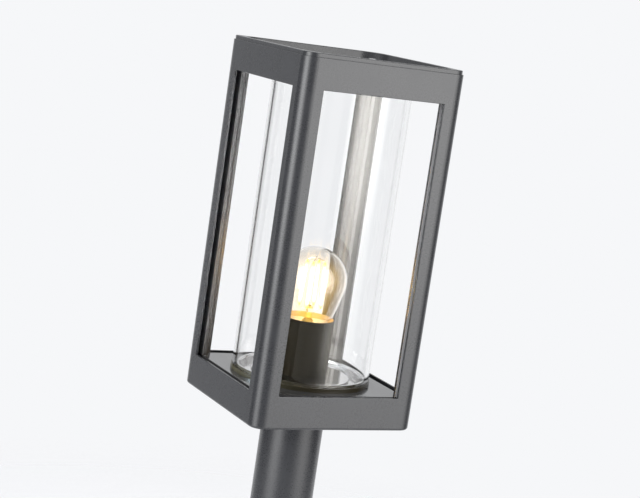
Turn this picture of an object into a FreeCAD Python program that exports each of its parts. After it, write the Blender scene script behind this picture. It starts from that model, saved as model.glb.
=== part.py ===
# A square lantern on a round post, built as its real pieces in millimetres, +Z up.
# The origin is the middle of the base flange's underside.
import FreeCAD, Part
import math
import os

os.makedirs("parts", exist_ok=True)
V = FreeCAD.Vector
UP = V(0, 0, 1)

# Clearances
THREAD_GAP = 0.3      # round the shank of a screw, in its hole
SLIDE_GAP = 0.6       # between a piece and the opening it drops into
PRESS_GAP = 0.3       # between a plug and its tube

# Post and base
POST_R = 29.0
POST_WALL = 2.5
POST_LEN = 264.0
FLANGE_R = 75.0
FLANGE_T = 6.0
FLANGE_BOLT_PCD = 118.0
FLANGE_BOLT_R = 4.5
FLANGE_CABLE_R = 18.0
FLANGE_EDGE = 1.0
WELD = 4.0
PLUG_LEN = 30.0
PLUG_BORE_R = 12.0
POST_SCREW_R = 3.0
POST_SCREW_PCD = 38.0
POST_SCREW_LEN = 16.0

# Lantern shell
LANTERN_W = 161.0
SHELL_H = 327.0
SHELL_WALL = 2.2
SHELL_FLOOR = 3.0
CORNER_R = 12.0
BOTTOM_ROUND = 2.5
RIM_EDGE = 0.5
WINDOW_MARGIN = 20.3
WINDOW_SILL = 30.5
TOP_RAIL = 27.5
WINDOW_EDGE = 0.6
CABLE_HOLE_R = 8.0

# Chassis inside the shell
CHASSIS_GAP = 6.0     # from the shell's wall to the chassis
PROFILE_T = 3.4
PROFILE_SHORT = 1.5   # from the window's edge back to the end of a profile's leg
CHANNEL_R = 3.2       # screw channel of the corner profile
CHANNEL_INSET = 0.8   # from the profile's outside to the channel
PLATE_DROP = 0.8      # from the sill down to the base plate
PLATE_T = 2.5
PLATE_CORNER = 3.0
PLATE_SPARE = 0.6     # from a spacer screw's end up to the plate's face
CHASSIS_SCREW_R = 1.7
CHASSIS_SCREW_LEN = 12.0
SPACER_AT = 45.0
SPACER_R = 4.5
SPACER_SCREW_R = 2.5

# Lid
LID_PROUD = 3.6
LID_LEDGE = 1.2       # from the shell's outside in to the lid's
LID_RECESS = 8.0
LID_RIM = 5.1
LID_SLOPE = 2.7       # that the recess narrows from its rim down to its floor
LID_FLOOR = 2.5
LID_RECESS_CORNER = 22.0
LID_EDGE = 0.8
LID_SCREW_INSET = 17.8
LID_SCREW_R = 2.0
RING_OPENING_R = 56.0

# Glass
GLASS_R = 64.0
GLASS_WALL = 3.5
GLASS_SEAT_H = 4.0
GLASS_EDGE = 0.8
SEAT_LIP = 2.0
SEAT_LIP_T = 2.0
SEAT_FOOT = 3.0
SEAT_PROUD = 1.0
SEAT_EDGE = 0.5
GASKET_H = 2.0
GASKET_SPARE = 1.0

# Lamp holder
HOLDER_FOOT_R = 46.0
HOLDER_FOOT_T = 3.0
FOOT_EDGE = 0.8
SLEEVE_R = 24.75
SLEEVE_WALL = 1.2
SLEEVE_EDGE = 0.4
SLEEVE_TOP = 85.0     # above the shell's underside
NIPPLE_R = 5.0
NIPPLE_BORE = 3.5
NIPPLE_SHY = 3.0      # from the holder's web down to the nipple's end
NIPPLE_SPARE = 1.5    # that the nipple shows below its nut
NUT_FLATS = 14.0
NUT_H = 4.5
HOLDER_WEB = 12.0     # thickness of the holder's bottom
HOLDER_TOP_GAP = 6.0  # from the holder's rim down to its insulator
HOLDER_MOUTH = 2.0    # chamfer of the holder's bore
SHELF_H = 5.0         # from the web up to the shelf that holds the screw shell
SHELF_W = 3.5

# Lamp with a round glass and a screw cap
BULB_R = 30.8
BULB_CENTRE = 120.5   # above the shell's underside
BULB_GLASS = 0.8
NECK_R = 12.2
TAPER_END_R = 22.5
CAP_R = 13.1
CAP_LIFT = 4.0        # from the shelf up to the cap
CAP_SLACK = 1.8       # round the cap, to the screw shell's outside
CAP_WALL = 0.4
CAP_LEN = 22.0
CAP_COLLAR = 2.0      # plain part above the cap's thread, which holds the neck
NECK_FLARE = 2.3
NECK_RISE = 3.0
INSULATOR_H = 2.5
NIB_R = 4.5
NIB_H = 1.2
CONTACT_T = 0.6
TAPER_DROP = 33.5     # from the middle of the ball down to the end of its taper
THREAD_PITCH = 3.63
THREAD_DEPTH = 0.9
FILAMENT_R = 1.5
FILAMENT_RING = 10.5
FILAMENT_LEN = 43.0
FILAMENT_SINK = 4.0   # from the middle of the ball down to that of the filaments
FILAMENT_LEAN = 2.0
STEM_R = 3.2
STEM_PIN_R = 1.0
LEAD_R = 0.4
SOLDER_GAP = 0.2

# Wiring chamber
BLOCK_W, BLOCK_D, BLOCK_H = 32.0, 16.0, 15.0
BLOCK_Y = 34.0
POLE_PITCH = 9.0
WIRE_R = 1.2
WIRE_WAY_Z = 7.0      # from the shell's floor up to the wires' holes in the block
TERMINAL_SCREW_R = 1.9
TERMINAL_SCREW_H = 4.0
TERMINAL_SCREW_AT = 4.0
TERMINAL_WAY_R = 2.0
EARTH_X = 33.0

# Levels and half widths that the sizes above give
BASE = FLANGE_T + POST_LEN
HALF = LANTERN_W / 2
SHELL_IN = HALF - SHELL_WALL
CHASSIS = SHELL_IN - CHASSIS_GAP
LID_SCREW_AT = SHELL_IN - LID_SCREW_INSET
WINDOW_HEAD = SHELL_H - TOP_RAIL
RIM = BASE + SHELL_H
PLATE_TOP = BASE + WINDOW_SILL - PLATE_DROP
PLATE_LOW = PLATE_TOP - PLATE_T
FLOOR_TOP = BASE + SHELL_FLOOR
LID_TOP = RIM + LID_PROUD
LID_FLOOR_TOP = LID_TOP - LID_RECESS
RING_TOP = LID_FLOOR_TOP - LID_FLOOR
RING_LOW = RING_TOP - PLATE_T
GLASS_LOW = PLATE_TOP + GLASS_SEAT_H
GLASS_TOP = RING_LOW - GASKET_H
CHANNEL_AT = CHASSIS - CHANNEL_R - CHANNEL_INSET
FOOT_TOP = PLATE_TOP + HOLDER_FOOT_T
HOLDER_TOP = BASE + SLEEVE_TOP - HOLDER_TOP_GAP
WEB_TOP = FOOT_TOP + HOLDER_WEB
SHELL_STEP = WEB_TOP + SHELF_H
CAP_LOW = SHELL_STEP + CAP_LIFT
CAP_TOP = CAP_LOW + CAP_LEN
BALL_Z = BASE + BULB_CENTRE
HOLDER_R = SLEEVE_R - SLEEVE_WALL - SLIDE_GAP
THREAD_SHELL_R = CAP_R + CAP_SLACK


def save(node, *shapes):
    shape = shapes[0] if len(shapes) == 1 else Part.makeCompound(list(shapes))
    shape.exportStep("parts/" + node + ".step")


def rod(r, z0, z1, x=0.0, y=0.0):
    return Part.makeCylinder(r, z1 - z0, V(x, y, z0), UP)


def tube(r_out, r_in, z0, z1):
    return rod(r_out, z0, z1).cut(rod(r_in, z0 - 1, z1 + 1))


def spun(points):
    outline = [V(r, 0, z) for r, z in points]
    face = Part.Face(Part.makePolygon(outline + outline[:1]))
    return face.revolve(V(0, 0, 0), UP, 360)


def block(half, corner, z0, z1):
    box = Part.makeBox(2 * half, 2 * half, z1 - z0, V(-half, -half, z0))
    upright = [e for e in box.Edges if e.BoundBox.ZLength > (z1 - z0) / 2]
    return box.makeFillet(corner, upright)


def hopper(half, slope, corner, z0, z1):
    low = half - slope
    wedge = Part.makeWedge(-low, z0, -low, -half, -half, low, z1, low, half, half)
    wedge.rotate(V(0, 0, 0), V(1, 0, 0), 90)
    slanted = [e for e in wedge.Edges if e.BoundBox.ZLength > (z1 - z0) / 2]
    return wedge.makeFillet(corner, slanted)


def bar(a, b, r):
    return Part.makeCylinder(r, a.distanceToPoint(b), a, b.sub(a))


def corners(at):
    return [V(sx * at, sy * at, 0) for sx in (1, -1) for sy in (1, -1)]


def round_edges(shape, z, radius):
    level = [e for e in shape.Edges if abs(e.BoundBox.ZMin - z) < 1e-4 and abs(e.BoundBox.ZMax - z) < 1e-4]
    return shape.makeFillet(radius, level)


def hex_prism(flats, z0, z1):
    r = flats / 3 ** 0.5
    spin = FreeCAD.Rotation(UP, 60)
    points = [V(r, 0, z0)]
    for _ in range(6):
        points.append(spin.multVec(points[-1]))
    return Part.Face(Part.makePolygon(points)).extrude(V(0, 0, z1 - z0))


def pan_screw(r, length):
    head_h = 1.3 * r
    head = rod(1.9 * r, 0, head_h)
    head = round_edges(head, head_h, 0.4 * r)
    drive = hex_prism(1.5 * r, 0.4 * head_h, head_h + 1)
    return head.fuse(rod(r, -length, 0)).removeSplitter().cut(drive)


def flat_screw(r, length):
    cone = spun([(0, 0), (2 * r, 0), (r, -r), (r, -length), (0, -length)])
    return cone.cut(hex_prism(1.5 * r, -0.7 * r, 1))


def moved(shape, spot, z, flip=False):
    copy = shape.copy()
    if flip:
        copy.rotate(V(0, 0, 0), V(1, 0, 0), 180)
    copy.translate(V(spot.x, spot.y, z))
    return copy


def base_flange():
    plate = rod(FLANGE_R, 0, FLANGE_T)
    plate = round_edges(plate, FLANGE_T, FLANGE_EDGE)
    bead_in = POST_R + THREAD_GAP
    bead = spun([(bead_in, FLANGE_T - 1), (bead_in + WELD, FLANGE_T - 1), (bead_in + WELD, FLANGE_T),
                 (bead_in, FLANGE_T + WELD)])
    plate = plate.fuse(bead).removeSplitter().cut(rod(FLANGE_CABLE_R, -1, FLANGE_T + 1))
    for spot in corners(FLANGE_BOLT_PCD / 2 / 2 ** 0.5):
        plate = plate.cut(rod(FLANGE_BOLT_R, -1, FLANGE_T + 1, spot.x, spot.y))
    return plate


def post_plug():
    plug_r = POST_R - POST_WALL - PRESS_GAP
    plug = tube(plug_r, PLUG_BORE_R, BASE - PLUG_LEN, BASE)
    for spot in corners(POST_SCREW_PCD / 2 / 2 ** 0.5):
        plug = plug.cut(rod(POST_SCREW_R + THREAD_GAP, BASE - POST_SCREW_LEN, BASE + 1, spot.x, spot.y))
    return plug


def window_cutters():
    width = LANTERN_W - 2 * WINDOW_MARGIN
    height = WINDOW_HEAD - WINDOW_SILL
    along_x = Part.makeBox(LANTERN_W + 2, width, height, V(-HALF - 1, -width / 2, BASE + WINDOW_SILL))
    along_y = Part.makeBox(width, LANTERN_W + 2, height, V(-width / 2, -HALF - 1, BASE + WINDOW_SILL))
    return along_x, along_y


def outer_window_edges(shell):
    lo, hi = BASE + WINDOW_SILL - 0.1, BASE + WINDOW_HEAD + 0.1
    found = []
    for e in shell.Edges:
        b = e.BoundBox
        on_face = max(abs(b.XMin), abs(b.XMax), abs(b.YMin), abs(b.YMax)) > HALF - 1e-3
        flat = min(b.XLength, b.YLength) < 1e-4
        inside = b.ZMin > lo and b.ZMax < hi
        if on_face and flat and inside and e.Length > 1:
            found.append(e)
    return found


def lantern_shell():
    shell = block(HALF, CORNER_R, BASE, RIM)
    shell = round_edges(shell, BASE, BOTTOM_ROUND)
    shell = round_edges(shell, RIM, RIM_EDGE)
    shell = shell.cut(block(SHELL_IN, CORNER_R - SHELL_WALL, FLOOR_TOP, RIM + 1))
    for cutter in window_cutters():
        shell = shell.cut(cutter)
    shell = shell.makeFillet(WINDOW_EDGE, outer_window_edges(shell))
    shell = shell.cut(rod(CABLE_HOLE_R, BASE - 1, FLOOR_TOP + 1))
    for spot in corners(POST_SCREW_PCD / 2 / 2 ** 0.5):
        shell = shell.cut(rod(POST_SCREW_R + THREAD_GAP, BASE - 1, FLOOR_TOP + 1, spot.x, spot.y))
    for spot in corners(SPACER_AT):
        shell = shell.cut(rod(SPACER_SCREW_R + THREAD_GAP, BASE - 1, FLOOR_TOP + 1, spot.x, spot.y))
    shell = shell.cut(rod(CHASSIS_SCREW_R + THREAD_GAP, BASE - 1, FLOOR_TOP + 1, EARTH_X, 0))
    return shell


def cable_grommet():
    neck = CABLE_HOLE_R - THREAD_GAP
    lip = CABLE_HOLE_R + 2
    bore = CABLE_HOLE_R / 2
    points = [(bore, BASE - 2), (lip - 3, BASE - 2), (lip - 3, BASE), (neck, BASE), (neck, FLOOR_TOP)]
    points += [(lip, FLOOR_TOP), (lip - 1, FLOOR_TOP + 2), (bore, FLOOR_TOP + 3)]
    return spun(points)


def corner_profile():
    z0, z1 = PLATE_TOP, RING_LOW
    inner = HALF - WINDOW_MARGIN + PROFILE_SHORT
    leg = CHASSIS - inner
    a = Part.makeBox(leg, PROFILE_T, z1 - z0, V(inner, CHASSIS - PROFILE_T, z0))
    b = Part.makeBox(PROFILE_T, leg, z1 - z0, V(CHASSIS - PROFILE_T, inner, z0))
    profile = a.fuse(b).fuse(rod(CHANNEL_R, z0, z1, CHANNEL_AT, CHANNEL_AT)).removeSplitter()
    return profile.cut(rod(CHASSIS_SCREW_R + THREAD_GAP, z0 - 1, z1 + 1, CHANNEL_AT, CHANNEL_AT))


def countersunk(plate, spot, face, depth_sign):
    r = CHASSIS_SCREW_R + THREAD_GAP
    sink = Part.makeCone(2 * CHASSIS_SCREW_R + THREAD_GAP, r, CHASSIS_SCREW_R, V(spot.x, spot.y, face),
                         V(0, 0, depth_sign))
    through = Part.makeCylinder(r, PLATE_T + 2, V(spot.x, spot.y, face - depth_sign), V(0, 0, depth_sign))
    return plate.cut(sink).cut(through)


def base_plate():
    plate = block(CHASSIS, PLATE_CORNER, PLATE_LOW, PLATE_TOP)
    plate = plate.cut(rod(NIPPLE_R + THREAD_GAP, PLATE_LOW - 1, PLATE_TOP + 1))
    for spot in corners(CHANNEL_AT):
        plate = countersunk(plate, spot, PLATE_LOW, 1)
    for spot in corners(SPACER_AT):
        plate = plate.cut(rod(SPACER_SCREW_R + THREAD_GAP, PLATE_LOW - 1, PLATE_TOP + 1, spot.x, spot.y))
    return plate


def top_ring():
    ring = block(CHASSIS, PLATE_CORNER, RING_LOW, RING_TOP)
    ring = ring.cut(rod(RING_OPENING_R, RING_LOW - 1, RING_TOP + 1))
    for spot in corners(CHANNEL_AT):
        ring = countersunk(ring, spot, RING_TOP, -1)
    for spot in corners(LID_SCREW_AT):
        ring = ring.cut(rod(LID_SCREW_R + THREAD_GAP, RING_LOW - 1, RING_TOP + 1, spot.x, spot.y))
    return ring


def lid():
    half = HALF - LID_LEDGE
    skirt = block(SHELL_IN - SLIDE_GAP, CORNER_R - SHELL_WALL - SLIDE_GAP, RING_TOP, RIM)
    tray = block(half, CORNER_R - LID_LEDGE, RIM, LID_TOP).fuse(skirt).removeSplitter()
    tray = tray.cut(hopper(half - LID_RIM, LID_SLOPE, LID_RECESS_CORNER, LID_FLOOR_TOP, LID_TOP))
    tray = round_edges(tray, LID_TOP, LID_EDGE)
    for spot in corners(LID_SCREW_AT):
        tray = tray.cut(rod(LID_SCREW_R + THREAD_GAP, RING_TOP - 1, LID_FLOOR_TOP + 1, spot.x, spot.y))
    return tray


def glass_seat():
    inside = GLASS_R - GLASS_WALL - SLIDE_GAP
    outside = GLASS_R + SEAT_PROUD
    points = [(inside - SEAT_FOOT, PLATE_TOP), (outside, PLATE_TOP), (outside, GLASS_LOW - SEAT_EDGE)]
    points += [(outside - SEAT_EDGE, GLASS_LOW), (inside, GLASS_LOW), (inside, GLASS_LOW + SEAT_LIP)]
    points += [(inside - SEAT_LIP_T, GLASS_LOW + SEAT_LIP), (inside - SEAT_FOOT, GLASS_LOW)]
    return spun(points)


def glass_cylinder():
    glass = tube(GLASS_R, GLASS_R - GLASS_WALL, GLASS_LOW, GLASS_TOP)
    glass = round_edges(glass, GLASS_LOW, GLASS_EDGE)
    return round_edges(glass, GLASS_TOP, GLASS_EDGE)


def holder_foot():
    foot = rod(HOLDER_FOOT_R, PLATE_TOP, FOOT_TOP)
    foot = round_edges(foot, FOOT_TOP, FOOT_EDGE)
    return foot.cut(rod(NIPPLE_R + THREAD_GAP, PLATE_TOP - 1, FOOT_TOP + 1))


def lamp_sleeve():
    sleeve = tube(SLEEVE_R, SLEEVE_R - SLEEVE_WALL, FOOT_TOP, BASE + SLEEVE_TOP)
    return round_edges(sleeve, BASE + SLEEVE_TOP, SLEEVE_EDGE)


def holder_body():
    bore = THREAD_SHELL_R + THREAD_GAP
    nipple = NIPPLE_R + THREAD_GAP
    points = [(nipple, FOOT_TOP), (HOLDER_R, FOOT_TOP), (HOLDER_R, HOLDER_TOP)]
    points += [(bore + HOLDER_MOUTH, HOLDER_TOP), (bore, HOLDER_TOP - HOLDER_MOUTH), (bore, SHELL_STEP)]
    points += [(bore - SHELF_W, SHELL_STEP), (bore - SHELF_W, WEB_TOP), (NIPPLE_BORE, WEB_TOP)]
    points += [(NIPPLE_BORE, WEB_TOP - NIPPLE_SHY), (nipple, WEB_TOP - NIPPLE_SHY)]
    return spun(points)


def rippled(r_crest, z0, turns):
    points = []
    for k in range(turns):
        z = z0 + k * THREAD_PITCH
        points += [(r_crest - THREAD_DEPTH, z), (r_crest, z + THREAD_PITCH / 2)]
    return points + [(r_crest - THREAD_DEPTH, z0 + turns * THREAD_PITCH)]


def wall_of(outer, thickness):
    return outer + [(r - thickness, z) for r, z in reversed(outer)]


def screw_shell():
    top = CAP_TOP - 1
    turns = int((top - CAP_LOW) / THREAD_PITCH)
    ripples = rippled(THREAD_SHELL_R, CAP_LOW, turns)
    low = [(THREAD_SHELL_R, SHELL_STEP), (THREAD_SHELL_R, SHELL_STEP + 1)]
    outer = low + ripples
    inner = [(r - CAP_WALL, z) for r, z in reversed(ripples)]
    foot = [(THREAD_SHELL_R - CAP_WALL, SHELL_STEP + 1), (THREAD_SHELL_R - CAP_WALL, SHELL_STEP + CAP_WALL)]
    foot += [(THREAD_SHELL_R - 3, SHELL_STEP + CAP_WALL), (THREAD_SHELL_R - 3, SHELL_STEP)]
    return spun(outer + inner + foot)


def extruded(points, width):
    wire = [V(x, -width / 2, z) for x, z in points]
    return Part.Face(Part.makePolygon(wire + wire[:1])).extrude(V(0, width, 0))


def centre_contact():
    low, high, t = WEB_TOP, CAP_LOW - INSULATOR_H - NIB_H, CONTACT_T
    strip = extruded([(-8, low), (6, low), (6, low + t), (-8, low + t)], 6)
    tongue = extruded([(3.6, low + t), (4.4, low + t), (-1.5, high), (-3.5, high), (-3.5, high - t),
                       (-1.9, high - t)], 6)
    return strip.fuse(tongue).removeSplitter()


def nipple():
    return tube(NIPPLE_R, NIPPLE_BORE, PLATE_LOW - NUT_H - NIPPLE_SPARE, WEB_TOP - NIPPLE_SHY)


def nipple_nut():
    nut = hex_prism(NUT_FLATS, PLATE_LOW - NUT_H, PLATE_LOW)
    return nut.cut(rod(NIPPLE_R + THREAD_GAP, PLATE_LOW - NUT_H - 1, PLATE_LOW + 1))


def bulb_side(inset):
    """Edges down one side of the lamp's glass, from its top to the end of its neck."""
    ball = BULB_R - inset
    taper = V(TAPER_END_R - inset, 0, BALL_Z - TAPER_DROP)
    reach = math.hypot(taper.x, TAPER_DROP)
    tangent = math.atan2(TAPER_DROP, taper.x) - math.acos(ball / reach)
    touch = V(ball * math.cos(tangent), 0, BALL_Z - ball * math.sin(tangent))
    half_way = (math.pi / 2 - tangent) / 2
    mid = V(ball * math.cos(half_way), 0, BALL_Z + ball * math.sin(half_way))
    neck = NECK_R - inset
    stops = [touch, taper, V(neck + NECK_FLARE, 0, CAP_TOP + NECK_RISE), V(neck, 0, CAP_TOP + NECK_FLARE / 2)]
    stops.append(V(neck, 0, CAP_TOP - CAP_COLLAR))
    edges = [Part.Arc(V(0, 0, BALL_Z + ball), mid, touch).toShape()]
    return edges + [Part.makeLine(a, b) for a, b in zip(stops, stops[1:])]


def bulb_glass():
    outer = bulb_side(0)
    inner = bulb_side(BULB_GLASS)
    foot = CAP_TOP - CAP_COLLAR
    across = Part.makeLine(V(NECK_R, 0, foot), V(NECK_R - BULB_GLASS, 0, foot))
    crown = Part.makeLine(V(0, 0, BALL_Z + BULB_R), V(0, 0, BALL_Z + BULB_R - BULB_GLASS))
    wire = Part.Wire(Part.__sortEdges__(outer + inner + [across, crown]))
    return Part.Face(wire).revolve(V(0, 0, 0), UP, 360)


def bulb_cap():
    turns = int((CAP_LEN - 3) / THREAD_PITCH)
    ripples = rippled(CAP_R, CAP_LOW, turns)
    outer = ripples + [(CAP_R, CAP_TOP - CAP_COLLAR), (CAP_R, CAP_TOP)]
    return spun(wall_of(outer, CAP_WALL))


def cap_insulator():
    r = CAP_R - THREAD_DEPTH - CAP_WALL - THREAD_GAP
    points = [(0, CAP_LOW + 2), (r, CAP_LOW + 2), (r, CAP_LOW), (r - 5, CAP_LOW - INSULATOR_H)]
    return spun(points + [(0, CAP_LOW - INSULATOR_H)])


def cap_contact():
    top = CAP_LOW - INSULATOR_H
    return round_edges(rod(NIB_R, top - NIB_H, top), top - NIB_H, 0.5)


def filament_ends():
    ends = []
    for k in range(4):
        out = V(math.cos(math.pi * (k + 0.5) / 2), math.sin(math.pi * (k + 0.5) / 2), 0)
        middle = BALL_Z - FILAMENT_SINK
        low = out * FILAMENT_RING + UP * (middle - FILAMENT_LEN / 2)
        high = out * (FILAMENT_RING - FILAMENT_LEAN) + UP * (middle + FILAMENT_LEN / 2)
        ends.append((low, high))
    return ends


def bulb_stem():
    foot = CAP_TOP - CAP_COLLAR
    flare = NECK_R - BULB_GLASS - THREAD_GAP
    top = BALL_Z + FILAMENT_LEN / 2
    points = [(0, foot), (flare, foot), (flare, foot + 1), (STEM_R, foot + 10), (STEM_R, foot + 20)]
    return spun(points + [(STEM_PIN_R, foot + 23), (STEM_PIN_R, top), (0, top)])


def bulb_leads():
    ends = filament_ends()
    leads = []
    for low, high in ends:
        out = V(low.x, low.y, 0).normalize()
        stem_foot = out * (STEM_R + THREAD_GAP) + UP * (low.z - 5)
        stem_top = out * (STEM_PIN_R + THREAD_GAP) + UP * (high.z + 3)
        under = low - UP * (LEAD_R + SOLDER_GAP)
        over = high + UP * (LEAD_R + SOLDER_GAP)
        leads.append(bar(stem_foot, under, LEAD_R))
        leads.append(bar(stem_top, over, LEAD_R))
    return leads


def terminal_block():
    z0 = FLOOR_TOP
    block_at = V(-BLOCK_W / 2, BLOCK_Y - BLOCK_D / 2, z0)
    body = Part.makeBox(BLOCK_W, BLOCK_D, BLOCK_H, block_at)
    body = body.makeChamfer(1, [e for e in body.Edges if abs(e.CenterOfMass.z - z0 - BLOCK_H) < 0.01])
    for k in (-1, 0, 1):
        mouth = V(k * POLE_PITCH, BLOCK_Y - BLOCK_D / 2 - 1, z0 + WIRE_WAY_Z)
        body = body.cut(Part.makeCylinder(TERMINAL_WAY_R, BLOCK_D + 2, mouth, V(0, 1, 0)))
        for y in (BLOCK_Y - TERMINAL_SCREW_AT, BLOCK_Y + TERMINAL_SCREW_AT):
            hole = rod(TERMINAL_SCREW_R + THREAD_GAP, mouth.z, z0 + BLOCK_H + 1, mouth.x, y)
            body = body.cut(hole)
    return body


def terminal_screws():
    z0 = FLOOR_TOP + WIRE_WAY_Z + WIRE_R + THREAD_GAP
    screws = []
    for k in (-1, 0, 1):
        for y in (BLOCK_Y - TERMINAL_SCREW_AT, BLOCK_Y + TERMINAL_SCREW_AT):
            top = z0 + TERMINAL_SCREW_H
            screw = rod(TERMINAL_SCREW_R, z0, top, k * POLE_PITCH, y)
            slot = Part.makeBox(5, 0.7, 2, V(k * POLE_PITCH - 2.5, y - 0.35, top - 1))
            screws.append(screw.cut(slot))
    return screws


def wire_along(points):
    spine = Part.makePolygon(points)
    end = Part.Wire(Part.Circle(points[0], points[1] - points[0], WIRE_R).toShape())
    return spine.makePipeShell([end], True, False, 2)


def holder_wire(side):
    way = FLOOR_TOP + WIRE_WAY_Z
    mouth = BLOCK_Y - BLOCK_D / 2
    x = side * (WIRE_R + 0.2)
    pole = -POLE_PITCH if side < 0 else 0.0
    under = PLATE_LOW - NUT_H - 6
    points = [V(pole, mouth + 6, way), V(pole, mouth - 4, way), V(x, 6, under), V(x, 0, under + 4)]
    return wire_along(points + [V(x, 0, WEB_TOP - 0.8)])


def earth_wire():
    way = FLOOR_TOP + WIRE_WAY_Z
    mouth = BLOCK_Y - BLOCK_D / 2
    beside = EARTH_X - 1.9 * CHASSIS_SCREW_R - WIRE_R - THREAD_GAP
    low = FLOOR_TOP + WIRE_R + THREAD_GAP
    points = [V(POLE_PITCH, mouth + 6, way), V(POLE_PITCH, mouth - 4, way), V(beside, mouth - 6, low)]
    return wire_along(points + [V(beside, -4, low)])


def spacers():
    one = tube(SPACER_R, SPACER_SCREW_R + THREAD_GAP, FLOOR_TOP, PLATE_LOW)
    return [moved(one, spot, 0) for spot in corners(SPACER_AT)]


def screws_at(screw, at, z, flip=False):
    return [moved(screw, spot, z, flip) for spot in corners(at)]


# Post
save("base_flange", base_flange())
save("post_tube", tube(POST_R, POST_R - POST_WALL, FLANGE_T, BASE))
save("post_plug", post_plug())
post_screw = pan_screw(POST_SCREW_R, POST_SCREW_LEN)
save("post_screws", *screws_at(post_screw, POST_SCREW_PCD / 2 / 2 ** 0.5, FLOOR_TOP))

# Lantern shell, chassis and lid
save("lantern_shell", lantern_shell())
save("cable_grommet", cable_grommet())
save("base_plate", base_plate())
save("top_ring", top_ring())
profile = corner_profile()
for number in range(4):
    turned = profile.copy()
    turned.rotate(V(0, 0, 0), UP, 90 * number)
    save("corner_profile_%d" % (number + 1), turned)
chassis_screw = flat_screw(CHASSIS_SCREW_R, CHASSIS_SCREW_LEN)
top_screws = screws_at(chassis_screw, CHANNEL_AT, RING_TOP)
low_screws = screws_at(chassis_screw, CHANNEL_AT, PLATE_LOW, True)
save("chassis_screws", *top_screws, *low_screws)
save("spacers", *spacers())
spacer_screw = pan_screw(SPACER_SCREW_R, PLATE_TOP - PLATE_SPARE - BASE)
save("spacer_screws", *screws_at(spacer_screw, SPACER_AT, BASE, True))
save("lid", lid())
lid_screw = pan_screw(LID_SCREW_R, LID_FLOOR + PLATE_T + 1)
save("lid_screws", *screws_at(lid_screw, LID_SCREW_AT, LID_FLOOR_TOP))

# Glass cylinder with its seals
save("glass_seat", glass_seat())
save("glass_cylinder", glass_cylinder())
save("glass_gasket", tube(GLASS_R, GLASS_R - GLASS_WALL - GASKET_SPARE, GLASS_TOP, RING_LOW))

# Lamp holder
save("holder_foot", holder_foot())
save("lamp_sleeve", lamp_sleeve())
save("holder_body", holder_body())
save("screw_shell", screw_shell())
save("centre_contact", centre_contact())
save("holder_nipple", nipple())
save("nipple_nut", nipple_nut())

# Lamp
save("bulb_glass", bulb_glass())
save("bulb_cap", bulb_cap())
save("cap_insulator", cap_insulator())
save("cap_contact", cap_contact())
save("bulb_stem", bulb_stem())
save("bulb_filaments", *[bar(low, high, FILAMENT_R) for low, high in filament_ends()])
save("bulb_leads", *bulb_leads())

# Wiring chamber
save("terminal_block", terminal_block())
save("terminal_screws", *terminal_screws())
save("live_wire", holder_wire(-1))
save("neutral_wire", holder_wire(1))
save("earth_wire", earth_wire())
earth_screw = pan_screw(CHASSIS_SCREW_R, SHELL_FLOOR)
save("earth_screw", moved(earth_screw, V(EARTH_X, 0, 0), FLOOR_TOP))
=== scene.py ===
# %% [markdown]
# # A square street light on a round post
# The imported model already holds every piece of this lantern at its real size: a thin square shell with four
# open windows, a chassis inside it, a glass cylinder, and a lit lamp in a holder. This lesson gives each
# piece its finish, adds the fine work that only matters to the eye, and sets up a small studio round it.
# We begin by loading the model. Its objects stay exactly where they are; we only read their sizes.

# %% Load the model
import bpy
import math
from mathutils import Matrix, Vector


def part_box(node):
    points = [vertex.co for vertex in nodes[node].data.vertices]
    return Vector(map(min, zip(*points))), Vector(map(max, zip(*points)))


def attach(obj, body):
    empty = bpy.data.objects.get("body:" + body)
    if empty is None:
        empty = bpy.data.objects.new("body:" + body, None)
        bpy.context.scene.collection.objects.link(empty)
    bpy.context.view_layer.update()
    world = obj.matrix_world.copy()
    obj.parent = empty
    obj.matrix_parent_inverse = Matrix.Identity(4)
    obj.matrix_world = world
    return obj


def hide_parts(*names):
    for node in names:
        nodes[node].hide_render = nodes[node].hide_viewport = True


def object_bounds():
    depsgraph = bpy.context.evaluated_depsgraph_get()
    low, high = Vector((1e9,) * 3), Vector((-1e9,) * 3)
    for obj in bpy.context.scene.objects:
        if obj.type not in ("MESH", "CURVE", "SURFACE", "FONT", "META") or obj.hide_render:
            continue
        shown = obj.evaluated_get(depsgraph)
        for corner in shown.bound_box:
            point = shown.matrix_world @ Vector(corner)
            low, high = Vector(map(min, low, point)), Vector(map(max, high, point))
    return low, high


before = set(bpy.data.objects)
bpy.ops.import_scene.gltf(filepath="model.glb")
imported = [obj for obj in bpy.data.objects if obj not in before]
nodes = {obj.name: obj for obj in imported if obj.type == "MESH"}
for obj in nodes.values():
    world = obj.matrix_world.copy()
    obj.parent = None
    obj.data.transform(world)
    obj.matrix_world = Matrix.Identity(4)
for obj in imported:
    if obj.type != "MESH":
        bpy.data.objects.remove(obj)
cad_low, cad_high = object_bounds()
scene = bpy.context.scene
scene.view_settings.view_transform = "Standard"
print("loaded", len(nodes), "pieces, height", round(cad_high.z - cad_low.z, 4), "m")

# %% [markdown]
# ## Camera
# The light was photographed from slightly above, turned so that two faces show, with the camera rolled a
# little so that the post leans. A camera is a matrix: its columns are the directions right, up and backwards.
# We build those from three angles rather than with constraints, because then the lens can be long and flat
# without anything shifting.

# %% Camera
VIEW_TURN = math.radians(-28.412)
VIEW_RISE = math.radians(8.864)
VIEW_ROLL = math.radians(8.462)
VIEW_DISTANCE = 1.5447
AIM = Vector((0, 0, 0.44067))
AIM_SHIFT = Vector((-0.00155, -0.02119))
LENS = 94.75
SENSOR_WIDTH = 36

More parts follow.
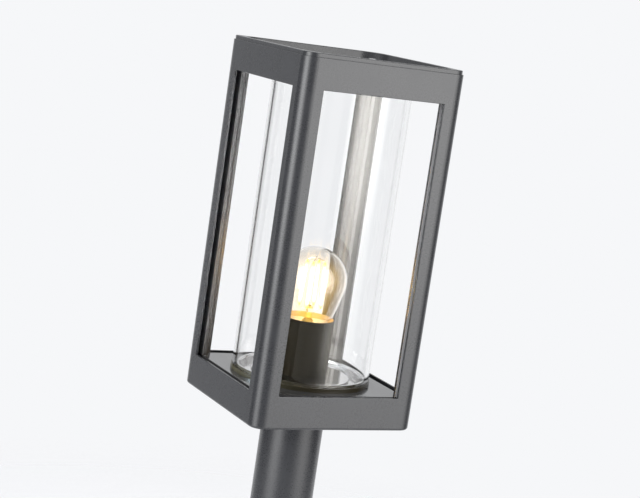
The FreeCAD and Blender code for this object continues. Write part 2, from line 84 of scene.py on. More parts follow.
backwards = Vector((math.sin(VIEW_TURN) * math.cos(VIEW_RISE), -math.cos(VIEW_TURN) * math.cos(VIEW_RISE),
                    math.sin(VIEW_RISE)))
level_right = Vector((math.cos(VIEW_TURN), math.sin(VIEW_TURN), 0))
level_up = backwards.cross(level_right)
right = math.cos(VIEW_ROLL) * level_right + math.sin(VIEW_ROLL) * level_up
up = -math.sin(VIEW_ROLL) * level_right + math.cos(VIEW_ROLL) * level_up
eye = AIM + AIM_SHIFT.x * right + AIM_SHIFT.y * up + VIEW_DISTANCE * backwards

camera_data = bpy.data.cameras.new("portrait_camera")
camera_data.sensor_fit = "HORIZONTAL"
camera_data.sensor_width = SENSOR_WIDTH
camera_data.lens = LENS
camera = bpy.data.objects.new("portrait_camera", camera_data)
scene.collection.objects.link(camera)
camera.matrix_world = Matrix((right, up, backwards)).transposed().to_4x4()
camera.location = eye
scene.camera = camera
print("camera at", [round(v, 3) for v in eye])

# %% [markdown]
# ## Small helpers for node trees
# A material is a graph. Small helpers keep the graphs short to read. The first ones add a node with the
# sockets that we name, connect two sockets, and feed a socket with either a number or a connection.

# %% Node helpers
def add(tree, kind, settings=None, **values):
    node = tree.nodes.new(kind)
    for name, value in (settings or {}).items():
        setattr(node, name, value)
    for name, value in values.items():
        node.inputs[name.replace("_", " ")].default_value = value
    return node


def join(tree, source, target):
    tree.links.new(source, target)


def feed(tree, value, socket):
    if isinstance(value, bpy.types.NodeSocket):
        join(tree, value, socket)
    else:
        socket.default_value = value


print("node helpers ready")

# %% [markdown]
# The next ones do sums on values, vectors and colours. `spread` maps one range onto another with soft ends,
# which makes most of the masks in this lesson. `is_ray` asks what kind of ray has met the surface.

# %% Helpers for sums
MIX_SHARE, MIX_FIRST, MIX_SECOND, MIX_COLOUR = 0, 6, 7, 2


def calculate(tree, operation, first, second):
    node = add(tree, "ShaderNodeMath", {"operation": operation})
    feed(tree, first, node.inputs[0])
    feed(tree, second, node.inputs[1])
    return node.outputs[0]


def calculate_vector(tree, operation, first, second=None):
    node = add(tree, "ShaderNodeVectorMath", {"operation": operation})
    feed(tree, first, node.inputs[0])
    if second is not None:
        feed(tree, second, node.inputs["Scale" if operation == "SCALE" else 1])
    return node.outputs["Value" if operation in ("LENGTH", "DOT_PRODUCT") else "Vector"]


def mix_colours(tree, share, first, second):
    node = add(tree, "ShaderNodeMix", {"data_type": "RGBA"})
    for index, value in ((MIX_SHARE, share), (MIX_FIRST, first), (MIX_SECOND, second)):
        feed(tree, value, node.inputs[index])
    return node.outputs[MIX_COLOUR]


def spread(tree, value, low, high, to_low, to_high):
    node = add(tree, "ShaderNodeMapRange", {"interpolation_type": "SMOOTHSTEP"}, From_Min=low, From_Max=high,
               To_Min=to_low, To_Max=to_high)
    join(tree, value, node.inputs["Value"])
    return node.outputs["Result"]


def split(tree, vector):
    node = add(tree, "ShaderNodeSeparateXYZ")
    join(tree, vector, node.inputs[0])
    return node.outputs


def is_ray(tree, *kinds):
    ray = add(tree, "ShaderNodeLightPath").outputs
    mask = ray["Is %s Ray" % kinds[0]]
    for kind in kinds[1:]:
        mask = calculate(tree, "MAXIMUM", mask, ray["Is %s Ray" % kind])
    return mask


print("helpers for sums ready")

# %% [markdown]
# ## Backdrop and surroundings
# In the studio a white sweep hangs behind the lantern and the space in front of it is dim, with two tall soft
# boxes. That contrast is what draws the dark and bright bands down every rounded edge of the paint. The
# world shader paints that room by direction: white behind, dim in front, soft white overhead. The camera and
# rays that pass through glass always meet the white sweep.

# %% World
SWEEP_WHITE = (0.922, 0.93, 0.947, 1)
ROOM_DIM = (0.17, 0.17, 0.175, 1)
ROOM_TOP = (0.75, 0.75, 0.76, 1)
SWEEP_FROM, SWEEP_FULL = 0.48, 0.7
TOP_FROM, TOP_FULL = 0.5, 0.9
LEVEL = (1, 1, 0)
behind = Vector((-backwards.x, -backwards.y, 0)).normalized()

world = bpy.data.worlds.new("studio")
world.use_nodes = True
scene.world = world
tree = world.node_tree
tree.nodes.clear()
direction = add(tree, "ShaderNodeTexCoord").outputs["Generated"]
level_direction = calculate_vector(tree, "NORMALIZE", calculate_vector(tree, "MULTIPLY", direction, LEVEL))
facing = calculate_vector(tree, "DOT_PRODUCT", level_direction, behind)
sweep_share = spread(tree, facing, SWEEP_FROM, SWEEP_FULL, 0.0, 1.0)
sides = mix_colours(tree, sweep_share, ROOM_DIM, SWEEP_WHITE)
overhead = spread(tree, split(tree, direction)["Z"], TOP_FROM, TOP_FULL, 0.0, 1.0)
room = mix_colours(tree, overhead, sides, ROOM_TOP)
seen = mix_colours(tree, is_ray(tree, "Camera", "Transmission"), room, SWEEP_WHITE)
background = add(tree, "ShaderNodeBackground", Strength=1.0)
join(tree, seen, background.inputs["Color"])
output = add(tree, "ShaderNodeOutputWorld")
join(tree, background.outputs[0], output.inputs["Surface"])
print("world: white behind", [round(v, 2) for v in behind])

# %% [markdown]
# ## Soft boxes
# Two upright soft boxes stand in front, one to each side of the camera. Each one shows as a bright band on
# the post and on the rounded corners, and the right one also lights the wide face. A function places a soft
# box by its bearing from the camera, so the pair can be tuned as a photographer would walk them round. The
# cloth of such a box is brightest in its upper middle and fades towards its foot and sides. Ramps along the
# lamp's own width and height do that.

# %% Soft boxes
BOX_DISTANCE = 1.7
BOX_FADE = (0.16, 0.4)
BOX_FOOT = 0.5
BOX_EDGE = 0.5
WARM_WHITE = (1.0, 0.995, 0.985)
COOL_WHITE = (0.99, 0.995, 1.0)


def soft_box(name, bearing, low, high, width, radiance, tint, foot=BOX_FOOT):
    turn = math.radians(bearing)
    side = Vector((backwards.x, backwards.y, 0)).normalized()
    out = side * math.cos(turn) + Vector((-side.y, side.x, 0)) * math.sin(turn)
    lamp = bpy.data.lights.new(name, "AREA")
    lamp.shape = "RECTANGLE"
    lamp.size = width
    lamp.size_y = high - low
    lamp.energy = radiance * math.pi * width * (high - low)
    lamp.color = tint
    lamp.use_nodes = True
    tree = lamp.node_tree
    cloth = split(tree, add(tree, "ShaderNodeNewGeometry").outputs["Parametric"])
    upwards = spread(tree, cloth["Y"], *BOX_FADE, foot, 1.0)
    near_side = spread(tree, cloth["X"], 0.0, BOX_EDGE, 0.0, 1.0)
    far_side = spread(tree, cloth["X"], 1.0 - BOX_EDGE, 1.0, 1.0, 0.0)
    fade = calculate(tree, "MULTIPLY", upwards, calculate(tree, "MULTIPLY", near_side, far_side))
    join(tree, fade, tree.nodes["Emission"].inputs["Strength"])
    holder = bpy.data.objects.new(name, lamp)
    scene.collection.objects.link(holder)
    holder.location = out * BOX_DISTANCE + Vector((0, 0, (low + high) / 2))
    holder.rotation_euler = out.to_track_quat("Z", "Y").to_euler()
    holder.visible_camera = False
    print(name, "at", [round(v, 2) for v in holder.location], "power", round(lamp.energy, 1), "W")
    return holder


soft_box("right_soft_box", bearing=58, low=-0.6, high=1.9, width=2.5, radiance=5.8, tint=WARM_WHITE)
soft_box("left_soft_box", bearing=-46, low=-0.6, high=1.9, width=2.1, radiance=8.2, tint=COOL_WHITE)

# %% [markdown]
# ## Helpers for materials
# Every material starts as a Principled shader and reads its patterns from object coordinates, so that they
# stay on the piece. These helpers start one, lay a noise over it, turn a height into a bump, and let a mask
# make the surface clear.

# %% Material helpers
def start_material(name):
    material = bpy.data.materials.new(name)
    material.use_nodes = True
    tree = material.node_tree
    return material, tree, tree.nodes["Principled BSDF"]


def object_place(tree):
    return add(tree, "ShaderNodeTexCoord").outputs["Object"]


def noise(tree, place, **values):
    node = add(tree, "ShaderNodeTexNoise", **values)
    join(tree, place, node.inputs["Vector"])
    return node.outputs["Fac"]


def add_relief(tree, height, strength, distance):
    relief = add(tree, "ShaderNodeBump", Strength=strength, Distance=distance)
    join(tree, height, relief.inputs["Height"])
    join(tree, relief.outputs["Normal"], tree.nodes["Principled BSDF"].inputs["Normal"])


def clear_where(tree, mask):
    blend = add(tree, "ShaderNodeMixShader")
    join(tree, mask, blend.inputs[0])
    join(tree, tree.nodes["Principled BSDF"].outputs[0], blend.inputs[1])
    join(tree, add(tree, "ShaderNodeBsdfTransparent").outputs[0], blend.inputs[2])
    join(tree, blend.outputs[0], tree.nodes["Material Output"].inputs["Surface"])


print("material helpers ready")

# %% [markdown]
# ## Table
# The light stands on a round white table top. It is part of the studio, not of the object. Its surface fades
# out towards the rim, where the white sweep takes over without a visible edge. It also has a hole under the
# flange and is clear from below, so that the underside of the light can be lit and seen.

# %% Table
TABLE_R = 0.8
TABLE_FADE = (0.4, 0.97 * TABLE_R)
TABLE_GAP = 0.0005
TABLE_ROUGHNESS = 0.7
TABLE_WHITES = ((0.84, 0.845, 0.86, 1), (0.88, 0.885, 0.9, 1))
HOLE_MARGIN = 0.003
HOLE_EDGE = 0.001
hole_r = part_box("base_flange")[1].x - HOLE_MARGIN


def table_finish():
    material, tree, shader = start_material("white_table")
    shader.inputs["Roughness"].default_value = TABLE_ROUGHNESS
    place = object_place(tree)
    fibres = noise(tree, place, Scale=180.0, Detail=2.0)
    join(tree, mix_colours(tree, fibres, *TABLE_WHITES), shader.inputs["Base Color"])
    radius = calculate_vector(tree, "LENGTH", place)
    faded = spread(tree, radius, *TABLE_FADE, 0.0, 1.0)
    hole = spread(tree, radius, hole_r, hole_r + HOLE_EDGE, 1.0, 0.0)
    below = add(tree, "ShaderNodeNewGeometry").outputs["Backfacing"]
    clear_where(tree, calculate(tree, "MAXIMUM", calculate(tree, "MAXIMUM", faded, hole), below))
    return material


bpy.ops.object.select_all(action="DESELECT")
bpy.ops.mesh.primitive_circle_add(vertices=96, radius=TABLE_R, fill_type="NGON",
                                  location=(0, 0, cad_low.z - TABLE_GAP))
table = bpy.context.object
table.name = "table_top"
table.data.materials.append(table_finish())
print("table radius", TABLE_R)

# %% [markdown]
# ## Powder coat
# The lantern's metal is dark grey, sprayed as dry powder and baked. Baked powder flows out into a skin with a
# very fine orange-peel: tiny mounds under a millimetre across, which break up reflections. We make that as a
# group with a colour, a roughness and a height, all driven by noise on object coordinates. Several materials
# place the same group with their own values.

# %% Powder coat group
GRAIN_SCALE = 900.0
GRAIN_SHARE = 0.65
MOTTLE_SCALE = 45.0
NOISE_MEAN = 0.5
TONE_GAIN = 4.0
SURFACE_OUTPUTS = [("Colour", "Color"), ("Roughness", "Float"), ("Height", "Float")]


def start_group(name, inputs, outputs):
    group = bpy.data.node_groups.new(name, "ShaderNodeTree")
    for label, kind, value in inputs:
        socket = group.interface.new_socket(label, in_out="INPUT", socket_type="NodeSocket" + kind)
        socket.default_value = value
    for label, kind in outputs:
        group.interface.new_socket(label, in_out="OUTPUT", socket_type="NodeSocket" + kind)
    return group, group.nodes.new("NodeGroupInput"), group.nodes.new("NodeGroupOutput")


def leave_surface(group, entry, leave, tone, wear, height):
    gloss = entry.outputs["Gloss"]
    reach = calculate(group, "SUBTRACT", entry.outputs["Dull"], gloss)
    rough = calculate(group, "ADD", calculate(group, "MULTIPLY", wear, reach), gloss)
    shade = calculate_vector(group, "SCALE", entry.outputs["Colour"], tone)
    join(group, shade, leave.inputs["Colour"])
    join(group, rough, leave.inputs["Roughness"])
    join(group, height, leave.inputs["Height"])


def build_coat_grain():
    inputs = [("Colour", "Color", (0.07, 0.07, 0.07, 1)), ("Colour Spread", "Float", 0.12),
              ("Gloss", "Float", 0.3), ("Dull", "Float", 0.42)]
    group, entry, leave = start_group("coat_grain", inputs, SURFACE_OUTPUTS)
    place = object_place(group)
    grain = noise(group, place, Scale=GRAIN_SCALE, Detail=3.0, Roughness=0.6)
    mottle = noise(group, place, Scale=MOTTLE_SCALE, Detail=3.0, Roughness=0.55)
    both = calculate(group, "ADD", calculate(group, "MULTIPLY", grain, GRAIN_SHARE),
                     calculate(group, "MULTIPLY", mottle, 1.0 - GRAIN_SHARE))
    swing = calculate(group, "MULTIPLY", calculate(group, "SUBTRACT", both, NOISE_MEAN),
                      entry.outputs["Colour Spread"])
    tone = calculate(group, "ADD", calculate(group, "MULTIPLY", swing, TONE_GAIN), 1.0)
    leave_surface(group, entry, leave, tone, both, grain)
    return group


COAT_GRAIN = build_coat_grain()
print("group", COAT_GRAIN.name, "with", len(COAT_GRAIN.nodes), "nodes")

# %% [markdown]
# ## Painted pieces
# One function turns the group into a material: it feeds colour and roughness to the shader and turns the
# height into a small bump. The shell, lid, post and flange share one coat. The top ring has a smoother one.

# %% Painted materials
COAT_RELIEF = 0.0004


def place_surface(tree, shader, group, bump, relief, **values):
    surface = add(tree, "ShaderNodeGroup", {"node_tree": group}, **values)
    join(tree, surface.outputs["Colour"], shader.inputs["Base Color"])
    join(tree, surface.outputs["Roughness"], shader.inputs["Roughness"])
    add_relief(tree, surface.outputs["Height"], bump, relief)


def painted(name, colour, uneven, gloss, dull, bump, specular=0.5):
    material, tree, shader = start_material(name)
    shader.inputs["Specular IOR Level"].default_value = specular
    place_surface(tree, shader, COAT_GRAIN, bump, COAT_RELIEF, Colour=colour, Colour_Spread=uneven,
                  Gloss=gloss, Dull=dull)
    return material


def dress(material, *names):
    for name in names:
        piece = nodes[name]
        piece.data.materials.clear()
        piece.data.materials.append(material)
    print(material.name, "on", ", ".join(names))


body_coat = painted("body_powder_coat", (0.025, 0.026, 0.029, 1), uneven=0.22, gloss=0.17, dull=0.4,
                    bump=0.19)
plate_coat = painted("plate_powder_coat", (0.06, 0.06, 0.062, 1), uneven=0.1, gloss=0.08, dull=0.15,
                     bump=0.05, specular=0.8)
dress(body_coat, "lantern_shell", "lid", "post_tube", "base_flange")
dress(plate_coat, "top_ring")

# %% [markdown]
# ## Corner profiles
# The corner profiles have the shell's coat on the sides that face inwards. Their backs in the narrow gap
# behind the shell get painted light instead: one leg's back is painted a light aluminium grey and the other a
# little lighter than the coat, so that the gap looks lit from the windows. A copy of the coat takes a mask on
# the distance from the middle, sideways and forwards.

# %% Corner profiles
# Painted light: a lighter colour on the profiles' backs in the gap, so that the gap looks lit.
GAP_LIGHT_COLOUR = (0.55, 0.55, 0.56, 1)
SIDE_GAP_LIGHT = 0.2
BACK_FROM, BACK_FULL = 0.0003, 0.0001


def start_copy(coat, name):
    material = coat.copy()
    material.name = name
    shader = material.node_tree.nodes["Principled BSDF"]
    return material, material.node_tree, shader, shader.inputs["Base Color"].links[0].from_socket


def painted_gap_light(coat):
    material, tree, shader, paint = start_copy(coat, "painted_gap_light_coat")
    place = split(tree, object_place(tree))
    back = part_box("corner_profile_1")[1].x

    def at_back(axis, most):
        distance = calculate(tree, "ABSOLUTE", place[axis], 0)
        return spread(tree, distance, back - BACK_FROM, back - BACK_FULL, 0.0, most)

    # Painted light in the gap: backs facing forwards and backwards get all of the lighter colour, backs
    # facing sideways a little of it.
    recolour_share = calculate(tree, "MAXIMUM", at_back("X", SIDE_GAP_LIGHT), at_back("Y", 1.0))
    join(tree, mix_colours(tree, recolour_share, paint, GAP_LIGHT_COLOUR), shader.inputs["Base Color"])
    return material


corner_names = ["corner_profile_%d" % k for k in (1, 2, 3, 4)]
dress(painted_gap_light(body_coat), *corner_names)

# %% [markdown]
# ## Bare floor
# The floor inside the glass is masked while the base plate is painted, so it stays bright metal, and so does
# the foot of the lamp holder. Here the mask is the distance from the lantern's axis. It changes the colour
# and also turns the surface to metal.

# %% Bare floor
POLISHED = (0.6, 0.595, 0.595, 1)
SEAT_WIDTH = 0.0076
MASK_EDGE = 0.0005
seat_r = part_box("glass_seat")[1].x


def from_axis(tree):
    return calculate_vector(tree, "LENGTH", calculate_vector(tree, "MULTIPLY", object_place(tree), LEVEL))


def bare_inside(coat, limit, name):
    material, tree, shader, paint = start_copy(coat, name)
    recolour_share = spread(tree, from_axis(tree), limit - MASK_EDGE, limit, 1.0, 0.0)
    join(tree, mix_colours(tree, recolour_share, paint, POLISHED), shader.inputs["Base Color"])
    join(tree, recolour_share, shader.inputs["Metallic"])
    return material


dress(bare_inside(plate_coat, seat_r - SEAT_WIDTH, "bare_floor_coat"), "base_plate", "holder_foot")

# %% [markdown]
# ## Clear glass
# The cylinder is drawn glass, with very faint long waves. A glass shader alone would keep lamp light and soft
# boxes from reaching what stands inside, because shadow rays stop at it. So rays that only gather light meet
# a transparent shader instead, and every other ray sees real glass.

# %% Glass material
WAVE_BUMP = 0.02
WAVE_RANGE = (0.2, 0.8)
POLISH = 0.008
CLEAR = (1, 1, 1, 1)


def clear_glass(name, tint, wave_scale, wave_height, bend, sheen):
    material, tree, shader = start_material(name)
    shader.inputs["Transmission Weight"].default_value = 1.0
    shader.inputs["IOR"].default_value = bend
    shader.inputs["Specular Tint"].default_value = sheen
    wave = noise(tree, object_place(tree), Scale=wave_scale, Detail=1.0)
    join(tree, mix_colours(tree, wave, tint, CLEAR), shader.inputs["Base Color"])
    join(tree, spread(tree, wave, *WAVE_RANGE, 0.0, POLISH), shader.inputs["Roughness"])
    add_relief(tree, wave, WAVE_BUMP, wave_height)
    clear_where(tree, is_ray(tree, "Shadow", "Diffuse"))
    return material


cylinder_glass = clear_glass("cylinder_glass", (0.958, 0.962, 0.962, 1), wave_scale=14.0, wave_height=0.0004,
                             bend=1.32, sheen=(1.0, 0.97, 0.91, 1))
lamp_glass = clear_glass("lit_lamp_glass", (0.93, 0.9, 0.85, 1), wave_scale=30.0, wave_height=0.0003,
                         bend=1.4, sheen=CLEAR)
print("glass for the cylinder and the lamp")

# %% [markdown]
# A lit lamp's own glass also looks hazy and warm, because it scatters a little of the light inside. We add
# that as a faint glow, strongest in the middle and near the neck.

# %% Lamp haze
HAZE = (0.13, 0.078, 0.008, 1)
NECK_HAZE = (0.26, 0.15, 0.012, 1)
NO_GLOW = (0, 0, 0, 1)
NECK_FULL, NECK_GONE = 0.008, 0.02
FADE_FROM, FADE_LEFT = 0.05, 0.25
HAZE_EDGE = 0.45


def lamp_haze(material, low, high):
    tree = material.node_tree
    shader = tree.nodes["Principled BSDF"]
    height = split(tree, object_place(tree))["Z"]
    neck = spread(tree, height, low + NECK_FULL, low + NECK_GONE, 1.0, 0.0)
    upper = spread(tree, height, low + FADE_FROM, high, 1.0, FADE_LEFT)
    inwards = add(tree, "ShaderNodeLayerWeight", Blend=0.5)
    middle = spread(tree, inwards.outputs["Facing"], 0.0, HAZE_EDGE, 1.0, 0.0)
    share = calculate(tree, "MULTIPLY", upper, middle)
    glow = mix_colours(tree, share, NO_GLOW, mix_colours(tree, neck, HAZE, NECK_HAZE))
    join(tree, glow, shader.inputs["Emission Color"])
    shader.inputs["Emission Strength"].default_value = 1.0


bulb_low, bulb_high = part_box("bulb_glass")
lamp_haze(lamp_glass, bulb_low.z, bulb_high.z)
dress(lamp_glass, "bulb_stem")

# %% [markdown]
# ## Modelling helpers
# The next pieces are modelled by hand, so to say: a primitive, then edit mode. Every operator works on what
# is selected, so one helper picks vertices by their place. Another closes a piece: it merges doubled points,
# turns the faces outwards, smooths the shading, hangs the piece under the root body and hides the
# construction solid that it stands for.

# %% Modelling helpers
import bmesh

MERGE_WITHIN = 0.00001
SMOOTH_UNDER = math.radians(40)


def begin_piece(name):
    piece = bpy.context.object
    piece.name = name
    bpy.ops.object.transform_apply(location=True, rotation=True, scale=True)
    bpy.ops.object.mode_set(mode="EDIT")
    bpy.ops.mesh.select_all(action="SELECT")
    return piece


def pick(piece, test):
    bpy.ops.mesh.select_mode(type="VERT")
    bpy.ops.mesh.select_all(action="DESELECT")
    mesh = bmesh.from_edit_mesh(piece.data)
    for vertex in mesh.verts:
        vertex.select_set(test(vertex.co))
    mesh.select_flush_mode()
    bmesh.update_edit_mesh(piece.data)


def close_piece(piece, material, stands_for):
    bpy.ops.object.mode_set(mode="EDIT")
    bpy.ops.mesh.select_all(action="SELECT")
    bpy.ops.mesh.remove_doubles(threshold=MERGE_WITHIN)
    bpy.ops.mesh.normals_make_consistent(inside=False)
    bpy.ops.object.mode_set(mode="OBJECT")
    bpy.ops.object.shade_smooth_by_angle(angle=SMOOTH_UNDER)
    piece.data.materials.append(material)
    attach(piece, "root")
    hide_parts(stands_for)
    print(piece.name, "has", len(piece.data.polygons), "faces")


print("modelling helpers ready")

# %% [markdown]
# ## Glass cylinder
# The cylinder is cut from drawn tube and its two rims are fire polished, which rounds them. Light shows every
# facet of a glass wall, so we don't take the construction mesh: we draw the wall's section as one upright
# rectangle, round its corners, and spin it in many small steps. The long wall then gets normals of its own,
# weighted by area, so that the small round rims don't tilt them and bend what is seen through the wall.

# %% Glass cylinder
GLASS_WALL = 0.0035
GLASS_RIM = 0.0009
GLASS_STEPS = 288
glass_low, glass_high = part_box("glass_cylinder")
glass_r = (glass_high.x - glass_low.x) / 2
bpy.ops.object.select_all(action="DESELECT")
bpy.ops.mesh.primitive_plane_add(size=1, rotation=(math.pi / 2, 0, 0),
                                 location=(glass_r - GLASS_WALL / 2, 0, (glass_low.z + glass_high.z) / 2))
bpy.context.object.scale = (GLASS_WALL, glass_high.z - glass_low.z, 1)
glass = begin_piece("drawn_glass")
bpy.ops.mesh.bevel(offset=GLASS_RIM, segments=5, affect="VERTICES")
bpy.ops.mesh.select_all(action="SELECT")
bpy.ops.mesh.delete(type="ONLY_FACE")
bpy.ops.mesh.select_all(action="SELECT")
bpy.ops.mesh.spin(steps=GLASS_STEPS, angle=2 * math.pi, center=(0, 0, 0), axis=(0, 0, 1))
close_piece(glass, cylinder_glass, "glass_cylinder")
glass.modifiers.new("straight_wall", "WEIGHTED_NORMAL")
bpy.ops.object.modifier_apply(modifier="straight_wall")

# %% [markdown]
# ## Soft boxes for single pieces
# In the photograph a pale reflection lies over the upper glass and all but hides the corner behind it. A
# third soft box gives that veil. A lamp's receiver collection lists the objects that it may light, so this
# one reaches the glass and leaves the paint as it is. It fades out downwards, where the lamp should stay
# clear. A fourth box stands low on the right and draws a soft sheen down that side of the lamp holder's
# sleeve. It ends below the height of the sleeve's rim, so that it doesn't shine into it. The last one, on the
# left, brightens the outside of the ring that the glass stands on.

# %% Soft boxes for glass, sleeve and ring
RING_TINT = (0.75, 0.9, 1.0)


def light_only(light, *pieces):
    lit = bpy.data.collections.new("lit_by_" + light.name)
    for piece in pieces:
        lit.objects.link(piece)
    light.light_linking.receiver_collection = lit


veil = soft_box("glass_soft_box", bearing=52, low=0.02, high=0.83, width=2.85, radiance=10.5,
                tint=COOL_WHITE, foot=0.0)
veil.visible_transmission = False
light_only(veil, glass)
sheen = soft_box("sleeve_soft_box", bearing=93, low=-0.4, high=0.36, width=0.8, radiance=108.0,
                 tint=WARM_WHITE, foot=1.0)
light_only(sheen, nodes["lamp_sleeve"])
ring_light = soft_box("ring_soft_box", bearing=-80, low=0.1, high=0.7, width=0.8, radiance=150.0,
                      tint=RING_TINT, foot=1.0)
light_only(ring_light, nodes["glass_seat"])

# %% [markdown]
# ## Lamp glass
# A lamp's bulb is blown: a ball that runs down into a tapering neck. We start from a ball, cut it off where
# the taper leaves it, and pull the open rim down ring by ring, each time to a smaller radius. The corners
# between the rings are then rounded with a bevel, and Solidify gives the thin wall.

# %% Lamp glass
BULB_WALL = 0.0008
TAPER_R = 0.0225
TAPER_DROP = 0.0335
NECK_R = 0.0122
NECK_FLARE = 0.0023
NECK_RISE = 0.008
RING_ROUND = 0.0018
RING_WITHIN = 0.00002
ball_r = (bulb_high.x - bulb_low.x) / 2
ball_z = bulb_high.z - ball_r
lean = math.atan2(TAPER_DROP, TAPER_R) - math.acos(ball_r / math.hypot(TAPER_R, TAPER_DROP))
cut_z = ball_z - ball_r * math.sin(lean)
bpy.ops.object.select_all(action="DESELECT")
bpy.ops.mesh.primitive_uv_sphere_add(segments=128, ring_count=72, radius=ball_r, location=(0, 0, ball_z))
bulb = begin_piece("blown_bulb")
bpy.ops.mesh.bisect(plane_co=(0, 0, cut_z), plane_no=(0, 0, 1), clear_inner=True, clear_outer=False)
rim_r = ball_r * math.cos(lean)
rim_z = cut_z
rings = [(TAPER_R, ball_z - TAPER_DROP), (NECK_R + NECK_FLARE, bulb_low.z + NECK_RISE - NECK_FLARE),
         (NECK_R, bulb_low.z + NECK_RISE / 2), (NECK_R, bulb_low.z)]
for ring_r, ring_z in rings:
    pick(bulb, lambda place: abs(place.z - rim_z) < RING_WITHIN)
    bpy.ops.mesh.extrude_edges_move(TRANSFORM_OT_translate={"value": (0, 0, ring_z - rim_z)})
    bpy.ops.transform.resize(value=(ring_r / rim_r, ring_r / rim_r, 1), center_override=(0, 0, ring_z))
    rim_r, rim_z = ring_r, ring_z
for ring_r, ring_z in rings[:-1]:
    pick(bulb, lambda place: abs(place.z - ring_z) < RING_WITHIN)
    bpy.ops.mesh.bevel(offset=RING_ROUND, segments=4, affect="EDGES")
bpy.ops.object.mode_set(mode="OBJECT")
wall = bulb.modifiers.new("wall", "SOLIDIFY")
wall.thickness = BULB_WALL
wall.offset = -1
close_piece(bulb, lamp_glass, "bulb_glass")
bpy.ops.object.modifier_apply(modifier="wall")
print("bulb", round(2000 * ball_r, 1), "mm across, wall", 1000 * BULB_WALL, "mm")

# %% [markdown]
# ## Metal finishes
# Screws, the cap and the contacts are bare metal. A group gives brushed or pressed metal: a noise stretched
# along one direction, used for both the tone and the roughness.

# %% Metal group
METAL_TONES = (0.25, 0.75, 0.8, 1.1)


def build_worked_metal():
    inputs = [("Colour", "Color", (0.6, 0.6, 0.6, 1)), ("Stretch", "Vector", (40.0, 40.0, 900.0)),
              ("Gloss", "Float", 0.2), ("Dull", "Float", 0.4)]
    group, entry, leave = start_group("worked_metal", inputs, SURFACE_OUTPUTS)
    stretched = calculate_vector(group, "MULTIPLY", object_place(group), entry.outputs["Stretch"])
    lines = noise(group, stretched, Scale=1.0, Detail=4.0, Roughness=0.65)
    tone = spread(group, lines, *METAL_TONES)
    leave_surface(group, entry, leave, tone, lines, lines)
    return group


WORKED_METAL = build_worked_metal()
print("group", WORKED_METAL.name, "with", len(WORKED_METAL.nodes), "nodes")

# %% [markdown]
# Turned pieces have their lines round the axis, rolled ones along one side. A table lists each metal with its
# colour, its lines, its smallest and largest roughness, and the pieces that are made of it.

# %% Metal materials
METAL_BUMP = 0.1
METAL_RELIEF = 0.0002
TURNED = (60.0, 60.0, 2500.0)
ROLLED = (2500.0, 60.0, 60.0)
METALS = [
    ("stainless_screws", (0.56, 0.56, 0.57, 1), TURNED, 0.22, 0.42,
     ["chassis_screws", "lid_screws", "post_screws", "spacer_screws", "earth_screw"]),
    ("pressed_brass", (0.72, 0.53, 0.26, 1), TURNED, 0.22, 0.45,
     ["screw_shell", "centre_contact", "holder_nipple", "nipple_nut", "terminal_screws"]),
    ("plated_cap", (0.66, 0.65, 0.63, 1), TURNED, 0.15, 0.32, ["bulb_cap", "cap_contact", "bulb_leads"]),
    ("satin_aluminium", (0.7, 0.7, 0.71, 1), ROLLED, 0.3, 0.5, ["spacers", "post_plug"]),
]


def metal(name, colour, stretch, gloss, dull):
    material, tree, shader = start_material(name)
    shader.inputs["Metallic"].default_value = 1.0
    place_surface(tree, shader, WORKED_METAL, METAL_BUMP, METAL_RELIEF, Colour=colour, Stretch=stretch,
                  Gloss=gloss, Dull=dull)
    return material


for name, colour, stretch, gloss, dull, pieces in METALS:
    dress(metal(name, colour, stretch, gloss, dull), *pieces)

# %% [markdown]
# ## Moulded and fired pieces
# Rubber, plastic, ceramic and wire sheath are dull and nearly even, with a fine mottle from the mould or
# kiln. The same grain group serves all of them. The table gives the colour, its unevenness, the smallest and
# largest roughness, and the bump. The seal above the glass and the ring below it are silicone, and the ring
# has a bright metal lining inside.

# %% Moulded materials
SEAT_LIP_IN = 0.0052
MOULDED = [
    ("black_rubber", (0.03, 0.03, 0.03, 1), 0.1, 0.45, 0.6, 0.1, "cable_grommet"),
    ("holder_ceramic", (0.72, 0.69, 0.64, 1), 0.05, 0.3, 0.5, 0.1, "holder_body"),
    ("terminal_plastic", (0.72, 0.71, 0.67, 1), 0.04, 0.35, 0.5, 0.1, "terminal_block"),
    ("cap_insulator_black", (0.02, 0.02, 0.02, 1), 0.1, 0.12, 0.25, 0.05, "cap_insulator"),
    ("brown_sheath", (0.16, 0.07, 0.03, 1), 0.06, 0.35, 0.5, 0.08, "live_wire"),
    ("blue_sheath", (0.05, 0.16, 0.45, 1), 0.06, 0.35, 0.5, 0.08, "neutral_wire"),
    ("green_sheath", (0.2, 0.4, 0.08, 1), 0.06, 0.35, 0.5, 0.08, "earth_wire"),
]
silicone = painted("grey_silicone", (0.024, 0.02, 0.012, 1), uneven=0.1, gloss=0.18, dull=0.3, bump=0.03,
                   specular=0.2)
dress(silicone, "glass_gasket")
dress(bare_inside(silicone, seat_r - SEAT_LIP_IN, "lined_silicone"), "glass_seat")
for name, colour, uneven, gloss, dull, bump, piece in MOULDED:
    dress(painted(name, colour, uneven, gloss, dull, bump), piece)

# %% [markdown]
# ## Lit filaments
# Each filament is a slim stick of tiny diodes under a yellow phosphor skin. Lit, its middle is white to the
# eye and its rim and ends stay amber. Rays that are seen meet the full glow. The light that it gives to
# other pieces is kept low, because a lamp of its own does that work later.

# %% Filament material
STICK_GLOW = 6.0
STICK_LIGHT = 0.8
STICK_ROUGHNESS = 0.4
SKINS = ((0.9, 0.5, 0.1, 1), (1.0, 0.7, 0.25, 1))
DULL_END, HOT_MIDDLE, AMBER_RIM = (0.16, 0.09, 0.005, 1), (1.0, 0.8, 0.42, 1), (0.2, 0.11, 0.01, 1)
FOOT_LEN, TIP_LEN = 0.009, 0.012
RIM_RANGE = (0.35, 0.85, 0.0, 0.9)


